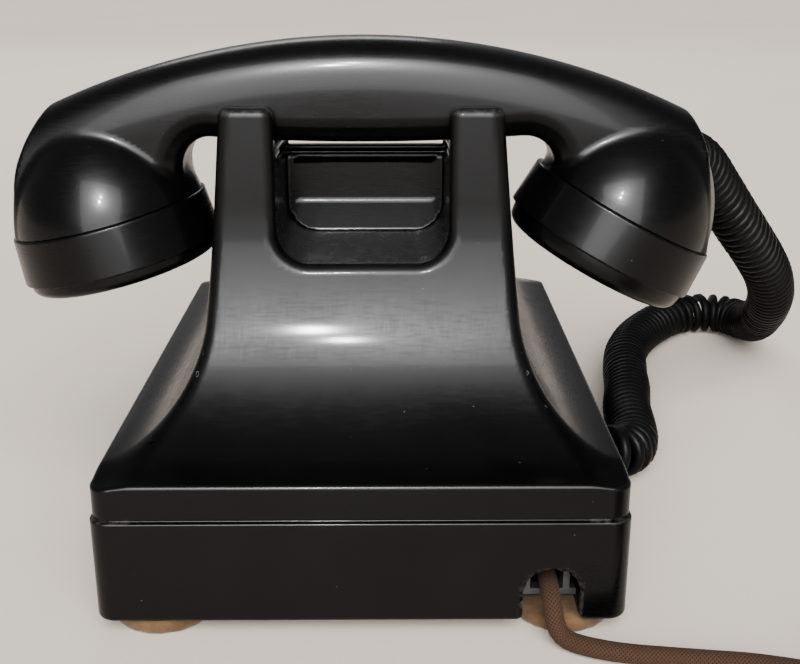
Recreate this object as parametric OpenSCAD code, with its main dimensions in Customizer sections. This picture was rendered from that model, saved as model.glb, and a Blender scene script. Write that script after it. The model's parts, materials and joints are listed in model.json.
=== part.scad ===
// Desk telephone with a rotary dial and a cradled handset.
// Frame: +X to the right of someone facing the dial, -Y towards that person, +Z up.
// Origin: centre of the housing's footprint, on the surface that the felt feet stand on.

/* [Housing] */
// Width of the housing's base band
body_w = 158; // [150:1:165]
// Depth of the housing's base band, front to back
body_d = 215; // [205:1:225]
// Height of the crease where the base band meets the flared flanks
crease_z = 49; // [46:1:52]
// Height of the step that runs round the base band
step_z = 37.5; // [34:0.5:40]
// Wall thickness of the moulded housing
wall = 3; // [2.5:0.5:3.5]
// Height of the rear cradle ears
ear_z = 148; // [144:1:150]
// Distance between the outer faces of the two ears
ear_span = 87; // [84:1:90]
// Width of the opening between the ears
ear_gap = 54; // [50:1:56]

/* [Dial] */
// Diameter of the finger wheel
wheel_d = 76; // [72:1:77]
// Diameter of a finger hole
finger_hole_d = 12.8; // [12:0.2:13]
// Number of finger holes
finger_holes = 10; // [10:1:10]
// Angle between neighbouring finger holes, in degrees
hole_step = 30; // [30:1:30]
// Elevation of the dial's normal above the horizontal, in degrees
dial_elevation = 50; // [47:1:52]

/* [Handset] */
// Diameter of either cap at its seam with the handset
cap_d = 64; // [62:1:65]
// Tilt of the receiver cap from the horizontal, in degrees
receiver_tilt = 13.9; // [13:0.1:15]
// Tilt of the transmitter cap from the horizontal, in degrees
transmitter_tilt = 28.1; // [27:0.1:29]
// Height of the handle's top at its middle
handset_top_z = 168; // [167:0.5:169]
// Height of the handle's underside at its middle
handle_under_z = 136; // [135.5:0.5:137]
// Width of the handle, front to back
handle_w = 31; // [28:1:31]

/* [Cords and feet] */
// Diameter of the cloth-covered line cord
line_cord_d = 5.8; // [5.5:0.1:6.2]
// Outer diameter of the curly handset cord
curly_d = 20.2; // [19:0.2:20.4]
// Diameter of a felt foot
foot_d = 29; // [26:1:30]
// Thickness of a felt foot
foot_t = 5; // [4:0.5:6]

/* [Hidden] */
$fn = 48;

// Housing profile. The flanks, the rear and the front flare down to the crease.
base_z = foot_t;
band_r = 6;
step_in = 0.7;
tower_top = 133;
side_flare = [29.5, 34];
rear_flare = [54, 70];
rear_face_y = body_d/2 - rear_flare[0];
front_face_y = 6;
front_sag = 14;
front_top_z = 146;
side_lean = (body_w/2 - side_flare[0] - ear_span/2)/(ear_z - crease_z - side_flare[1]);
well_floor_z = 100;
well_front_y = 9;
well_wall = 2.5;
well_r = 10;
front_wall_z = 128.5;
inner_w = body_w/2 - wall;
inner_d = body_d/2 - wall;

// Handset
handset_y = 31;
handle_r = 243;
handle_cz = handset_top_z - handle_r;
handle_half = 120;
handle_deep = 70;
neck_r = 9;
receiver_neck_x = 57;
transmitter_neck_x = -61;
receiver_end = [[100.9, 146.3], [104.4, 141.4], [107.6, 135], [110.5, 122], [110.5, 90]];
transmitter_end = [[-110.5, 90], [-110.5, 122], [-109.5, 133], [-106.8, 141.4], [-104.4, 146.3]];
receiver_seam = [83.6, handset_y, 112.3];
transmitter_seam = [-85.4, handset_y, 113.5];
receiver_dome_r = 31;
transmitter_dome_r = 30.3;
dome_h = 32;
receiver_cap_h = 19.6;
transmitter_cap_h = 21.5;
cap_side_h = 15;
cap_flare = 1;
cap_lip = 4;
ear_clear = 0.5;

// Dial
dial_c = [0, -52.5, 92];
boss_r = 45;
dial_bore_r = 37;
plate_z = 2.4;
wheel_z = 5.5;
wheel_t = 2;
hole_ring_r = 28.5;
first_hole = 30;
stop_angle = -22;
shaft_r = 3;
screw_r = 1.4;
screw_head_r = 5;
case_h = 28;
gear_z = -11;
governor_pos = [17, -14];
gear_r = 15.8;
governor_gear_r = 6;

// Hook switch
plunger_x = 35.3;
plunger_r = 4;
run_gap = 0.05;
plunger_top = 136.5;
lever_pivot = [8, 86];
lever_z = 93;

// Cord exits and far ends
notch_x = -56;
notch_w = 15.5;
notch_h = 16.5;
gland_pos = [-body_w/2, 8, 15];
plug_pos = [-150, 185];
coil_r = 33;
coil_w = 18;
coil_h = 17.4;
plug_r = 17;
plug_h = 14;
cord_sides = 8;
boot_l = 16;
curly_sides = 12;

// Route of the line cord, from the notch to the coil.
line_route = [[notch_x, 84, 13], [notch_x, 93, 13], [notch_x, 101, 13], [notch_x, 106, 12],
    [-56.3, 109.5, 9.5], [-57, 112, 6], [-59, 114, 3.6], [-63, 116.5, 3], [-70, 119.5, 3], [-78, 121.5, 3],
    [-88, 123, 3], [-99, 124.5, 3], [-110, 126, 3], [-122, 129, 3], [-134, 133, 3],
    [-146, 138.5, 3], [-157, 141, 3]];

// Route of the curly cord's centre line, from the handset to the side of the housing.
curly_route = [[-107.5, 2.5, 125.5], [-114, -5.5, 123.5], [-122, -14.5, 118.5],
    [-131, -24.5, 108.5], [-141, -33.5, 96.5], [-151.3, -43.5, 84.5], [-161.5, -55, 72.5],
    [-170.8, -69, 60.5], [-178.2, -85, 48], [-183.4, -103, 36], [-187.6, -122, 25],
    [-190.7, -141, 16], [-191, -158, 11.2], [-185, -170.5, 10.2], [-172.5, -174.5, 10.2],
    [-157.5, -168.5, 10.2], [-143, -153, 10.2], [-130, -133, 10.2], [-121, -111, 10.2],
    [-116, -88, 10.2], [-112.5, -65, 10.2], [-109.5, -43, 10.2], [-107.5, -22, 10.2],
    [-104.5, -6, 10.7], [-97.5, 4, 12.2], [-88, 7.8, 14.5]];

// ---- Helpers ------------------------------------------------------------------------------

// Points along an elliptical arc.
function arc(c, r, a0, a1, n) =
    [for (i = [0 : n]) let (a = a0 + (a1 - a0)*i/n) [c[0] + r[0]*cos(a), c[1] + r[1]*sin(a)]];

function mirrored(points) = concat(points, [for (i = [len(points) - 1 : -1 : 0])
    [-points[i][0], points[i][1]]]);

// Outline of a rectangle with round corners, centred on the origin.
function round_rect(w, d, r, n = 6) = concat(
    arc([w/2 - r, d/2 - r], [r, r], 0, 90, n), arc([-w/2 + r, d/2 - r], [r, r], 90, 180, n),
    arc([-w/2 + r, -d/2 + r], [r, r], 180, 270, n), arc([w/2 - r, -d/2 + r], [r, r], 270, 360, n));

// Front view of the flared body, inset by t.
function flank_profile(t, top) = mirrored(concat(
    arc([body_w/2, crease_z + side_flare[1]], [side_flare[0] + t, side_flare[1] + t], 270, 180, 10),
    [[ear_span/2 - t + side_lean*(ear_z - top), top]]));

// Side view of the flared body, inset by t: rear flare, then the front's shallow arc.
front_a = [-body_d/2, crease_z];
front_b = [front_face_y, front_top_z];
front_chord = norm(front_b - front_a);
front_r = front_chord*front_chord/(8*front_sag) + front_sag/2;
front_dir = (front_b - front_a)/front_chord;
front_c = (front_a + front_b)/2 + (front_r - front_sag)*[-front_dir[1], front_dir[0]];
front_a0 = atan2(front_b[1] - front_c[1], front_b[0] - front_c[0]);
front_a1 = atan2(front_a[1] - front_c[1], front_a[0] - front_c[0]);

// Depth of the front arc's surface at height z, inset by t.
function front_y(t, z) = front_c[0] + sqrt(pow(front_r + t, 2) - pow(z - front_c[1], 2));

function side_profile(t, top) = concat(
    arc([body_d/2, crease_z + rear_flare[1]], rear_flare + [t, t], 270, 180, 14),
    [[rear_face_y - t, top], [front_y(t, top), top]],
    [for (p = arc(front_c, [front_r + t, front_r + t], front_a0, front_a1, 12))
        if (p[1] < top - 0.5) p]);

module flared_body(t, top) {
    intersection() {
        rotate([90, 0, 0]) linear_extrude(body_d - 2*t, center = true)
            polygon(flank_profile(t, top));
        rotate([90, 0, 90]) linear_extrude(body_w - 2*t, center = true)
            polygon(side_profile(t, top));
    }
}

module band(w, d, r, z0, z1) {
    translate([0, 0, z0]) linear_extrude(z1 - z0) polygon(round_rect(w, d, r));
}

// Places children in the dial's frame: local +Z is the dial's normal, local +Y runs up its face.
module at_dial() {
    translate(dial_c) rotate([90 - dial_elevation, 0, 0]) children();
}

module tube(r_out, r_in, h) {
    difference() {
        cylinder(r = r_out, h = h);
        translate([0, 0, -1]) cylinder(r = r_in, h = h + 2);
    }
}

module block(lo, hi) {
    translate(lo) cube(hi - lo);
}

function unit(v) = v/norm(v);
function tangent(p, i) = unit(p[min(i + 1, len(p) - 1)] - p[max(i - 1, 0)]);
function side_of(t) = unit(cross(t, abs(t[2]) > 0.9 ? [1, 0, 0] : [0, 0, 1]));
function ring(c, t, r, sides) = let (s = side_of(t), u = cross(s, t))
    [for (k = [0 : sides - 1]) c + r*cos(360*k/sides)*s + r*sin(360*k/sides)*u];

// Sweeps a round section with the given number of sides along a route.
module sweep(route, r, sides) {
    n = len(route);
    points = [for (i = [0 : n - 1]) each ring(route[i], tangent(route, i), r, sides)];
    walls = [for (i = [0 : n - 2], k = [0 : sides - 1]) let (j = (k + 1) % sides)
        [i*sides + k, (i + 1)*sides + k, (i + 1)*sides + j, i*sides + j]];
    start_cap = [for (k = [0 : sides - 1]) k];
    end_cap = [for (k = [sides - 1 : -1 : 0]) (n - 1)*sides + k];
    polyhedron(points, concat(walls, [start_cap, end_cap]));
}

// ---- Housing and base ---------------------------------------------------------------------

boss_points = [for (x = [-1, 1], y = [-1, 1]) [x*64, y*56]];
foot_points = [for (x = [-1, 1], y = [-1, 1]) [x*61, y*92]];

module housing() {
    color("#141414") difference() {
        union() {
            difference() {
                union() {
                    band(body_w, body_d, band_r, base_z, step_z);
                    band(body_w - 2*step_in, body_d - 2*step_in, band_r, step_z, crease_z);
                    intersection() {
                        flared_body(0, ear_z);
                        band(body_w - 2*step_in, body_d - 2*step_in, band_r, crease_z - 1, ear_z);
                    }
                    at_dial() translate([0, 0, -34]) cylinder(r = boss_r, h = 34);
                }
                difference() {
                    union() {
                        band(2*inner_w, 2*inner_d, band_r - wall, base_z - 1, crease_z - wall);
                        intersection() {
                            flared_body(wall, tower_top - wall);
                            band(2*inner_w, 2*inner_d, band_r - wall, crease_z - wall - 1, ear_z);
                        }
                    }
                    well_block(well_wall, well_wall);
                }
            }
            for (p = boss_points) translate([p[0], p[1], base_z + 2]) cylinder(r = 5, h = 24);
            for (p = boss_points) block([p[0] > 0 ? p[0] : -inner_w - 0.5, p[1] - 2, base_z + 2],
                [p[0] > 0 ? inner_w + 0.5 : p[0], p[1] + 2, base_z + 26]);
        }
        well_block(0, 0);
        saddle_cut();
        at_dial() translate([0, 0, -60]) cylinder(r = dial_bore_r, h = 80);
        for (x = [-1, 1]) translate([x*plunger_x, handset_y, tower_top - 8])
            cylinder(r = plunger_r + 1.2, h = 10);
        for (p = boss_points) translate([p[0], p[1], base_z]) cylinder(r = 1.6, h = 16);
        cord_notch();
        translate(gland_pos - [1, 0, 0]) rotate([0, 90, 0]) cylinder(r = 5, h = 8, center = true);
    }
}

// The finger well between the ears, open to the rear and to the top, grown by side and below.
module well_block(side, below) {
    half = ear_gap/2 + side;
    outline = concat([[half, ear_z + 9], [-half, ear_z + 9]],
        arc([-half + well_r, well_floor_z - below + well_r], [well_r, well_r], 180, 270, 8),
        arc([half - well_r, well_floor_z - below + well_r], [well_r, well_r], 270, 360, 8));
    translate([0, well_front_y - side, 0]) rotate([90, 0, 180])
        linear_extrude(body_d/2 - well_front_y + side) polygon(outline);
}

// Cradle saddles for the handle, and the lower wall between the front prongs.
module saddle_cut() {
    half = handle_w/2 + ear_clear;
    block([-60, handset_y - half, tower_top], [60, handset_y + half, ear_z + 9]);
    block([-ear_gap/2, front_face_y - 30, front_wall_z], [ear_gap/2, handset_y, ear_z + 9]);
}

module cord_notch() {
    block([notch_x - notch_w/2, inner_d - 3, base_z - 1],
        [notch_x + notch_w/2, body_d/2 + 1, base_z + notch_h - notch_w/2]);
    translate([notch_x, body_d/2 + 1, base_z + notch_h - notch_w/2]) rotate([90, 0, 0])
        cylinder(d = notch_w, h = wall + 5);
}

module base_plate() {
    color("#3a3a3a") difference() {
        band(2*inner_w - 1, 2*inner_d - 1, band_r - wall, base_z, base_z + 2);
        for (p = boss_points) translate([p[0], p[1], 0]) cylinder(r = 1.9, h = 20);
        block([notch_x - notch_w/2 - 1, inner_d - 12, 0], [notch_x + notch_w/2 + 1, inner_d, 20]);
    }
}

module felt_feet() {
    color("#a08560") for (p = foot_points) translate([p[0], p[1], 0]) cylinder(d = foot_d, h = foot_t);
}

module housing_screws() {
    color("#b8b8b8") for (p = boss_points) translate([p[0], p[1], 0]) {
        translate([0, 0, base_z - 2.2]) cylinder(r = 3.4, h = 2.2);
        translate([0, 0, base_z]) cylinder(r = 1.6, h = 14);
    }
}

// ---- Hook switch --------------------------------------------------------------------------

module plunger_bushes() {
    color("#202020") for (x = [-1, 1]) translate([x*plunger_x, handset_y, tower_top - wall - 5])
        tube(plunger_r + 1.2, plunger_r + run_gap, wall + 5);
}

module plunger(x) {
    color("#1a1a1a") translate([x, handset_y, lever_z]) {
        cylinder(r = plunger_r, h = plunger_top - lever_z);
        translate([0, 0, 18]) cylinder(r = plunger_r + 1, h = 1.5);
    }
}

module plunger_left() plunger(-plunger_x);
module plunger_right() plunger(plunger_x);

module switch_bracket() {
    color("#8c8f92") difference() {
        union() {
            block([-16, 2, base_z + 2], [16, 3.5, 78]);
            block([-16, 2, base_z + 2], [16, 16, base_z + 4]);
            for (x = [-16, 14]) block([x, 2, 70], [x + 2, 13, 90]);
        }
        translate([0, lever_pivot[0], lever_pivot[1]]) rotate([0, 90, 0])
            cylinder(r = 1.5, h = 60, center = true);
    }
}

module switch_pin() {
    color("#c0c0c0") translate([0, lever_pivot[0], lever_pivot[1]]) rotate([0, 90, 0])
        cylinder(r = 1.5, h = 36, center = true);
}

// Bail that both plungers press on.
module switch_lever() {
    color("#b0a070") difference() {
        union() {
            translate([0, lever_pivot[0], lever_pivot[1]]) rotate([0, 90, 0])
                cylinder(r = 3, h = 26, center = true);
            block([-12, lever_pivot[0], 84.6], [12, handset_y - 3, 87.4]);
            block([-plunger_x - 3, handset_y - 3.5, 84.6], [plunger_x + 3, handset_y + 3.5, 87.4]);
            for (x = [-1, 1]) translate([x*plunger_x, handset_y, 86]) cylinder(r = 2, h = 6.7);
        }
        translate([0, lever_pivot[0], lever_pivot[1]]) rotate([0, 90, 0])
            cylinder(r = 1.5 + run_gap, h = 60, center = true);
    }
}

module switch_springs() {
    color("#c8a84b") {
        for (i = [0 : 3]) block([-9 + 5*i, 4.5, 52], [-6.5 + 5*i, 5.1, 78]);
        block([-11, 3.5, 50], [11, 7.5, 56]);
    }
}

// ---- Dial ---------------------------------------------------------------------------------

module dial_case() {
    color("#8f9296") at_dial() {
        difference() {
            union() {
                cylinder(r = 41, h = plate_z);
                translate([0, 0, -case_h]) cylinder(r = dial_bore_r - 1, h = case_h + 1);
            }
            translate([0, 0, -case_h - 1]) cylinder(r = dial_bore_r - 2.5, h = case_h - 1);
            translate([0, 0, -5]) cylinder(r = shaft_r + run_gap, h = 20);
            governor_bore();
        }
    }
}

module governor_bore() {
    translate([governor_pos[0], governor_pos[1], -5]) cylinder(r = 1.5 + run_gap, h = 4.5);
}

module number_plate() {
    color("#f2efe4") at_dial() translate([0, 0, plate_z]) difference() {
        cylinder(r = 40, h = 1.2);
        translate([0, 0, -1]) cylinder(r = shaft_r + 1, h = 4);
    }
}

module finger_wheel() {
    color("#17171a") at_dial() translate([0, 0, wheel_z]) difference() {
        union() {
            cylinder(d = wheel_d, h = wheel_t);
            translate([0, 0, wheel_t - 0.5]) cylinder(r = 15.5, h = 1.3);
        }
        for (i = [0 : finger_holes - 1]) rotate(first_hole + i*hole_step)
            translate([hole_ring_r, 0, -1]) cylinder(d = finger_hole_d, h = 5);
        translate([0, 0, -1]) cylinder(r = shaft_r, h = 5);
        translate([0, 0, wheel_t]) cylinder(r = screw_head_r, h = 5);
    }
}

module card_ring() {
    color("#d0d0d4") at_dial() translate([0, 0, wheel_z + wheel_t + 0.8]) tube(14.5, 12, 1.4);
}

module number_card() {
    color("#f4f0e2") at_dial() translate([0, 0, wheel_z + wheel_t + 0.8]) cylinder(r = 12, h = 0.8);
}

// Hook that stops the finger; it is fixed to the case and reaches over the wheel's rim.
module finger_stop() {
    color("#c9c9cd") at_dial() rotate(stop_angle) {
        block([40.2, -2.5, plate_z], [42, 2.5, 11.2]);
        block([28, -2.5, 9.6], [42, 2.5, 11.2]);
        block([41, -2.5, 0], [44.5, 2.5, plate_z + 1.2]);
    }
}

module dial_shaft() {
    color("#b5b5b8") at_dial() difference() {
        translate([0, 0, -20]) cylinder(r = shaft_r, h = 20 + wheel_z + wheel_t);
        translate([0, 0, wheel_z - 5]) cylinder(r = screw_r, h = 10);
    }
}

// Centre screw that holds the finger wheel on its shaft.
module wheel_screw() {
    color("#c4c4c8") at_dial() {
        translate([0, 0, wheel_z - 4]) cylinder(r = screw_r, h = wheel_t + 4);
        translate([0, 0, wheel_z + wheel_t]) cylinder(r = screw_head_r, h = 0.8);
    }
}

module main_gear() {
    color("#c9a648") at_dial() translate([0, 0, gear_z]) difference() {
        cylinder(r = gear_r, h = 1.6);
        translate([0, 0, -1]) cylinder(r = shaft_r, h = 5);
    }
}

module governor() {
    color("#c9a648") at_dial() translate([governor_pos[0], governor_pos[1], gear_z]) {
        cylinder(r = governor_gear_r, h = 1.6);
        translate([0, 0, -13]) cylinder(r = 1.5, h = 13 + 9.5);
        translate([0, 0, -11]) cylinder(r = 9, h = 5);
    }
}

module pulse_springs() {
    color("#c8a84b") at_dial() {
        for (i = [0 : 2]) block([-26, -6 + 4*i, -22], [-10, -5.4 + 4*i, -19]);
        block([-33, -8, -23], [-25, 6, -16]);
    }
}

// Upright plate on the base plate, shaped to the case that it carries.
module dial_bracket() {
    color("#85888b") difference() {
        union() {
            block([-18, -58, base_z + 2], [18, -56.5, 64]);
            block([-18, -58, base_z + 2], [18, -44, base_z + 4]);
        }
        at_dial() translate([0, 0, -case_h]) cylinder(r = dial_bore_r - 1, h = 60);
    }
}

// ---- Ringer -------------------------------------------------------------------------------

gong_r = 21;
gong_t = 1.3;
gong_z = 21;
gong_points = [[-24, 74], [24, 74]];
coil_points = [[-11, 34], [11, 34]];
clapper_y = 51;
clapper_z = 32;

module ringer_frame() {
    color("#85888b") difference() {
        union() {
            block([-40, 23, base_z + 2], [40, 82, base_z + 4]);
            for (g = gong_points) translate([g[0], g[1], base_z + 4])
                cylinder(r = 4, h = gong_z - base_z - 4);
            block([-4, 45, base_z + 4], [4, 46.5, clapper_z + 6]);
            for (z = [clapper_z - 6, clapper_z + 4]) block([-4, 46.5, z], [4, clapper_y + 3, z + 2]);
        }
        for (g = gong_points) translate([g[0], g[1], 10]) cylinder(r = 1.5, h = 20);
        translate([0, clapper_y, clapper_z - 8]) cylinder(r = 1, h = 20);
    }
}

module ringer_coils() {
    color("#7a3b1e") for (p = coil_points) translate([p[0], p[1], base_z + 4]) {
        cylinder(r = 3.5, h = 31);
        for (z = [0, 27]) translate([0, 0, z]) cylinder(r = 9.5, h = 1.5);
        translate([0, 0, 1.5]) cylinder(r = 8.5, h = 25.5);
    }
}

module ringer_magnet() {
    color("#5b5e61") block([-21, 28, 40], [21, 40, 45]);
}

module gong(p) {
    color("#c0a050") translate([p[0], p[1], gong_z]) rotate_extrude()
        polygon(concat([[1.6, 0]], [[8, 0]], arc([8, 12], [gong_r - 8, 12], 270, 360, 8),
            [[gong_r, 15], [gong_r - gong_t, 15]],
            arc([8, 12], [gong_r - 8 - gong_t, 12 - gong_t], 360, 270, 8), [[1.6, gong_t]]));
}

module gong_left() gong(gong_points[0]);
module gong_right() gong(gong_points[1]);

module gong_screws() {
    color("#d0d0d0") for (g = gong_points) translate([g[0], g[1], 12]) {
        cylinder(r = 1.5, h = gong_z - 12 + gong_t);
        translate([0, 0, gong_z - 12 + gong_t]) cylinder(r = 3.5, h = 2.2);
    }
}

// Hub with the armature bar, and the rod that carries the ball between the gongs.
module clapper() {
    color("#a9a9ad") translate([0, clapper_y, clapper_z]) difference() {
        union() {
            translate([0, 0, -3.6]) cylinder(r = 2.6, h = 7.2);
            translate([-12, -0.8, -3]) cube([24, 1.6, 6]);
            rotate([-90, 0, 0]) cylinder(r = 1.1, h = gong_points[0][1] - clapper_y);
            translate([0, gong_points[0][1] - clapper_y, 0]) sphere(r = 2.2);
        }
        translate([0, 0, -10]) cylinder(r = 1 + run_gap, h = 20);
    }
}

module clapper_pin() {
    color("#cfcfcf") translate([0, clapper_y, clapper_z - 6]) cylinder(r = 1, h = 12);
}

// ---- Network on the base plate ------------------------------------------------------------

module induction_coil() {
    color("#4a2d1c") {
        for (y = [-34, 28]) block([42, y, base_z + 2], [68, y + 4, base_z + 28]);
        translate([55, -30, base_z + 15]) rotate([-90, 0, 0]) cylinder(r = 11.5, h = 58);
    }
}

module condenser() {
    color("#9b9da0") block([-57, -78, base_z + 2], [-33, -26, base_z + 32]);
}

module terminal_block() {
    color("#3b2a20") block([-67, -20, base_z + 2], [-50, 28, base_z + 14]);
}

module terminal_screws() {
    color("#cdb36a") for (i = [0 : 4], x = [-63, -54])
        translate([x, -15 + 9.5*i, base_z + 14]) cylinder(r = 2.6, h = 1.8);
}

// ---- Handset ------------------------------------------------------------------------------

// Section of the handle: straight sides that draw in towards a rounded top.
function handle_section(w) = [[-w, -handle_deep], [w, -handle_deep], [w, -26], [w - 0.7, -18],
    [w - 2.2, -12], [w - 4.6, -7], [w - 8, -2.7], [w - 11.5, -0.6], [0, 0], [11.5 - w, -0.6],
    [8 - w, -2.7], [4.6 - w, -7], [2.2 - w, -12], [0.7 - w, -18], [-w, -26]];

// Front view of the handle with its two necks.
handle_outline = concat(transmitter_end, [[-98, 175], [98, 175]], receiver_end,
    [[receiver_neck_x, 90]],
    arc([receiver_neck_x - neck_r, handle_under_z + 1.8 - neck_r], [neck_r, neck_r], 0, 90, 6),
    [[0, handle_under_z]],
    arc([transmitter_neck_x + neck_r, handle_under_z + 1.8 - neck_r], [neck_r, neck_r], 90, 180, 6),
    [[transmitter_neck_x, 90]]);

module handle_arc() {
    span = asin(handle_half/handle_r);
    translate([0, handset_y, handle_cz]) rotate([90, 0, 0]) rotate([0, 0, 90 - span])
        rotate_extrude(angle = 2*span, $fn = 180)
        polygon([for (p = handle_section(handle_w/2)) [handle_r + p[1], p[0]]]);
}

// Places children on a cap's seam: local +Z runs up into the handset.
module at_seam(seam, tilt) {
    translate(seam) rotate([0, tilt, 0]) children();
}

// Bulge over a capsule: it narrows slowly at first and then rounds off.
module dome(r, h) {
    rotate_extrude() polygon(concat([[0, 0]],
        [for (i = [0 : 14]) let (t = 1 - pow(1 - i/14, 1.7)) [r*sqrt(1 - pow(t, 1.5)), h*t]]));
}

module at_receiver() at_seam(receiver_seam, receiver_tilt) children();
module at_transmitter() at_seam(transmitter_seam, -transmitter_tilt) children();

module handset_handle() {
    color("#121212") difference() {
        union() {
            intersection() {
                handle_arc();
                translate([0, handset_y + handle_w, 0]) rotate([90, 0, 0])
                    linear_extrude(2*handle_w) polygon(handle_outline);
            }
            at_receiver() dome(receiver_dome_r, dome_h);
            at_transmitter() dome(transmitter_dome_r, dome_h);
        }
        at_receiver() translate([0, 0, -60]) cylinder(d = cap_d + 6, h = 60);
        at_transmitter() translate([0, 0, -60]) cylinder(d = cap_d + 6, h = 60);
        at_receiver() translate([0, 0, -0.5]) dome(receiver_dome_r - 3.5, dome_h - 4);
        at_transmitter() translate([0, 0, -0.5]) dome(transmitter_dome_r - 3.5, dome_h - 4);
    }
}

// Screw cap: a ring that widens a little, then a narrower lip and a perforated face.
// Its outside is at local -Z.
module cap(h, holes) {
    r = cap_d/2;
    lip_r = r - 1.3;
    difference() {
        rotate_extrude() polygon(concat([[r - 4, 0], [r, 0], [r + cap_flare, -cap_side_h],
            [lip_r, -cap_side_h - 0.4]], arc([lip_r - 4, 4 - h], [4, 4], 0, -90, 6),
            [[0, -h], [0, cap_lip - h], [r - 7, cap_lip - h], [r - 7, -2], [r - 4, -2]]));
        for (p = holes) translate([p[0], p[1], -h - 1]) cylinder(r = 1.3, h = cap_lip + 2);
    }
}

cap_holes = concat([[0, 0]], [for (i = [0 : 5]) 6*[cos(60*i), sin(60*i)]]);
mouth_holes = concat(cap_holes, [for (i = [0 : 11]) 12*[cos(30*i), sin(30*i)]]);

module receiver_cap() {
    color("#121212") at_receiver() translate([0, 0, -0.4]) cap(receiver_cap_h, cap_holes);
}

module transmitter_cap() {
    color("#121212") at_transmitter() translate([0, 0, -0.4]) cap(transmitter_cap_h, mouth_holes);
}

module capsule() {
    translate([0, 0, -2]) cylinder(d = cap_d - 17, h = 9);
    translate([0, 0, -0.4]) cylinder(d = cap_d - 11.6, h = 2.5);
}

module receiver_capsule() {
    color("#b9bbbd") at_receiver() capsule();
}

module transmitter_capsule() {
    color("#c8b878") at_transmitter() capsule();
}

module capsule_springs() {
    for (x = [-8, 8]) translate([x - 2, -4, 7]) cube([4, 8, 9]);
}

module receiver_springs() {
    color("#c8a84b") at_receiver() capsule_springs();
}

module transmitter_springs() {
    color("#c8a84b") at_transmitter() capsule_springs();
}

// ---- Cords --------------------------------------------------------------------------------

// Places children at a point of a route, with local +Z along the route.
module along(route, i) {
    d = unit(route[i + 1] - route[i]);
    translate(route[i]) rotate([0, acos(d[2]), atan2(d[1], d[0])]) children();
}

module handset_cord_boot() {
    color("#161616") along(curly_route, 0) translate([0, 0, -boot_l]) cylinder(r = 5, h = boot_l);
}

module handset_cord_gland() {
    color("#161616") translate(gland_pos) rotate([0, -90, 0]) {
        cylinder(r = 7, h = 3);
        translate([0, 0, -5]) cylinder(r = 4.6, h = 6);
        cylinder(r = 3.5, h = 7.4);
    }
}

module handset_cord() {
    color("#1c1c1c") sweep(curly_route, curly_d/2, curly_sides);
}

module line_cord_clamp() {
    color("#8c8f92") translate([notch_x, 92, 0]) {
        block([-9, -4, base_z + 2], [9, 4, base_z + 4]);
        for (x = [-7, 5]) block([x, -4, base_z + 4], [x + 2, 4, 17]);
        block([-7, -4, 17], [7, 4, 19]);
    }
}

module line_cord() {
    color("#3a2a20") sweep(line_route, line_cord_d/2, cord_sides);
}

module line_cord_coil() {
    color("#3a2a20") translate([plug_pos[0], plug_pos[1], 0]) rotate_extrude() polygon([
        [coil_r - coil_w/2 + 3, 0], [coil_r + coil_w/2 - 3, 0], [coil_r + coil_w/2, 3],
        [coil_r + coil_w/2, coil_h - 5], [coil_r + coil_w/2 - 4, coil_h],
        [coil_r - coil_w/2 + 4, coil_h], [coil_r - coil_w/2, coil_h - 5], [coil_r - coil_w/2, 3]]);
}

// Round plug, lying on its back inside the coil with its pins up.
module line_plug() {
    color("#2a1c14") translate([plug_pos[0], plug_pos[1], 0]) cylinder(r = plug_r, h = plug_h);
}

module line_plug_pins() {
    color("#c8a84b") translate([plug_pos[0], plug_pos[1], plug_h]) for (a = [45 : 90 : 315])
        rotate(a) translate([9, 0, 0]) cylinder(r = 2.2, h = 11);
}

housing();
base_plate();
felt_feet();
housing_screws();
plunger_bushes();
plunger_left();
plunger_right();
switch_bracket();
switch_lever();
switch_pin();
switch_springs();
dial_case();
dial_bracket();
number_plate();
finger_wheel();
wheel_screw();
card_ring();
number_card();
finger_stop();
dial_shaft();
main_gear();
governor();
pulse_springs();
ringer_frame();
ringer_coils();
ringer_magnet();
gong_left();
gong_right();
gong_screws();
clapper();
clapper_pin();
induction_coil();
condenser();
terminal_block();
terminal_screws();
line_cord_clamp();
handset_cord_gland();
handset_handle();
receiver_cap();
transmitter_cap();
receiver_capsule();
transmitter_capsule();
receiver_springs();
transmitter_springs();
handset_cord_boot();
handset_cord();
line_cord();
line_cord_coil();
line_plug();
line_plug_pins();
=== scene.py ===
"""Looks of the rotary desk telephone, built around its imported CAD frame. Sizes are in millimetres
up to the moment when a mesh is made, which is in metres."""

import json
import math

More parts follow.
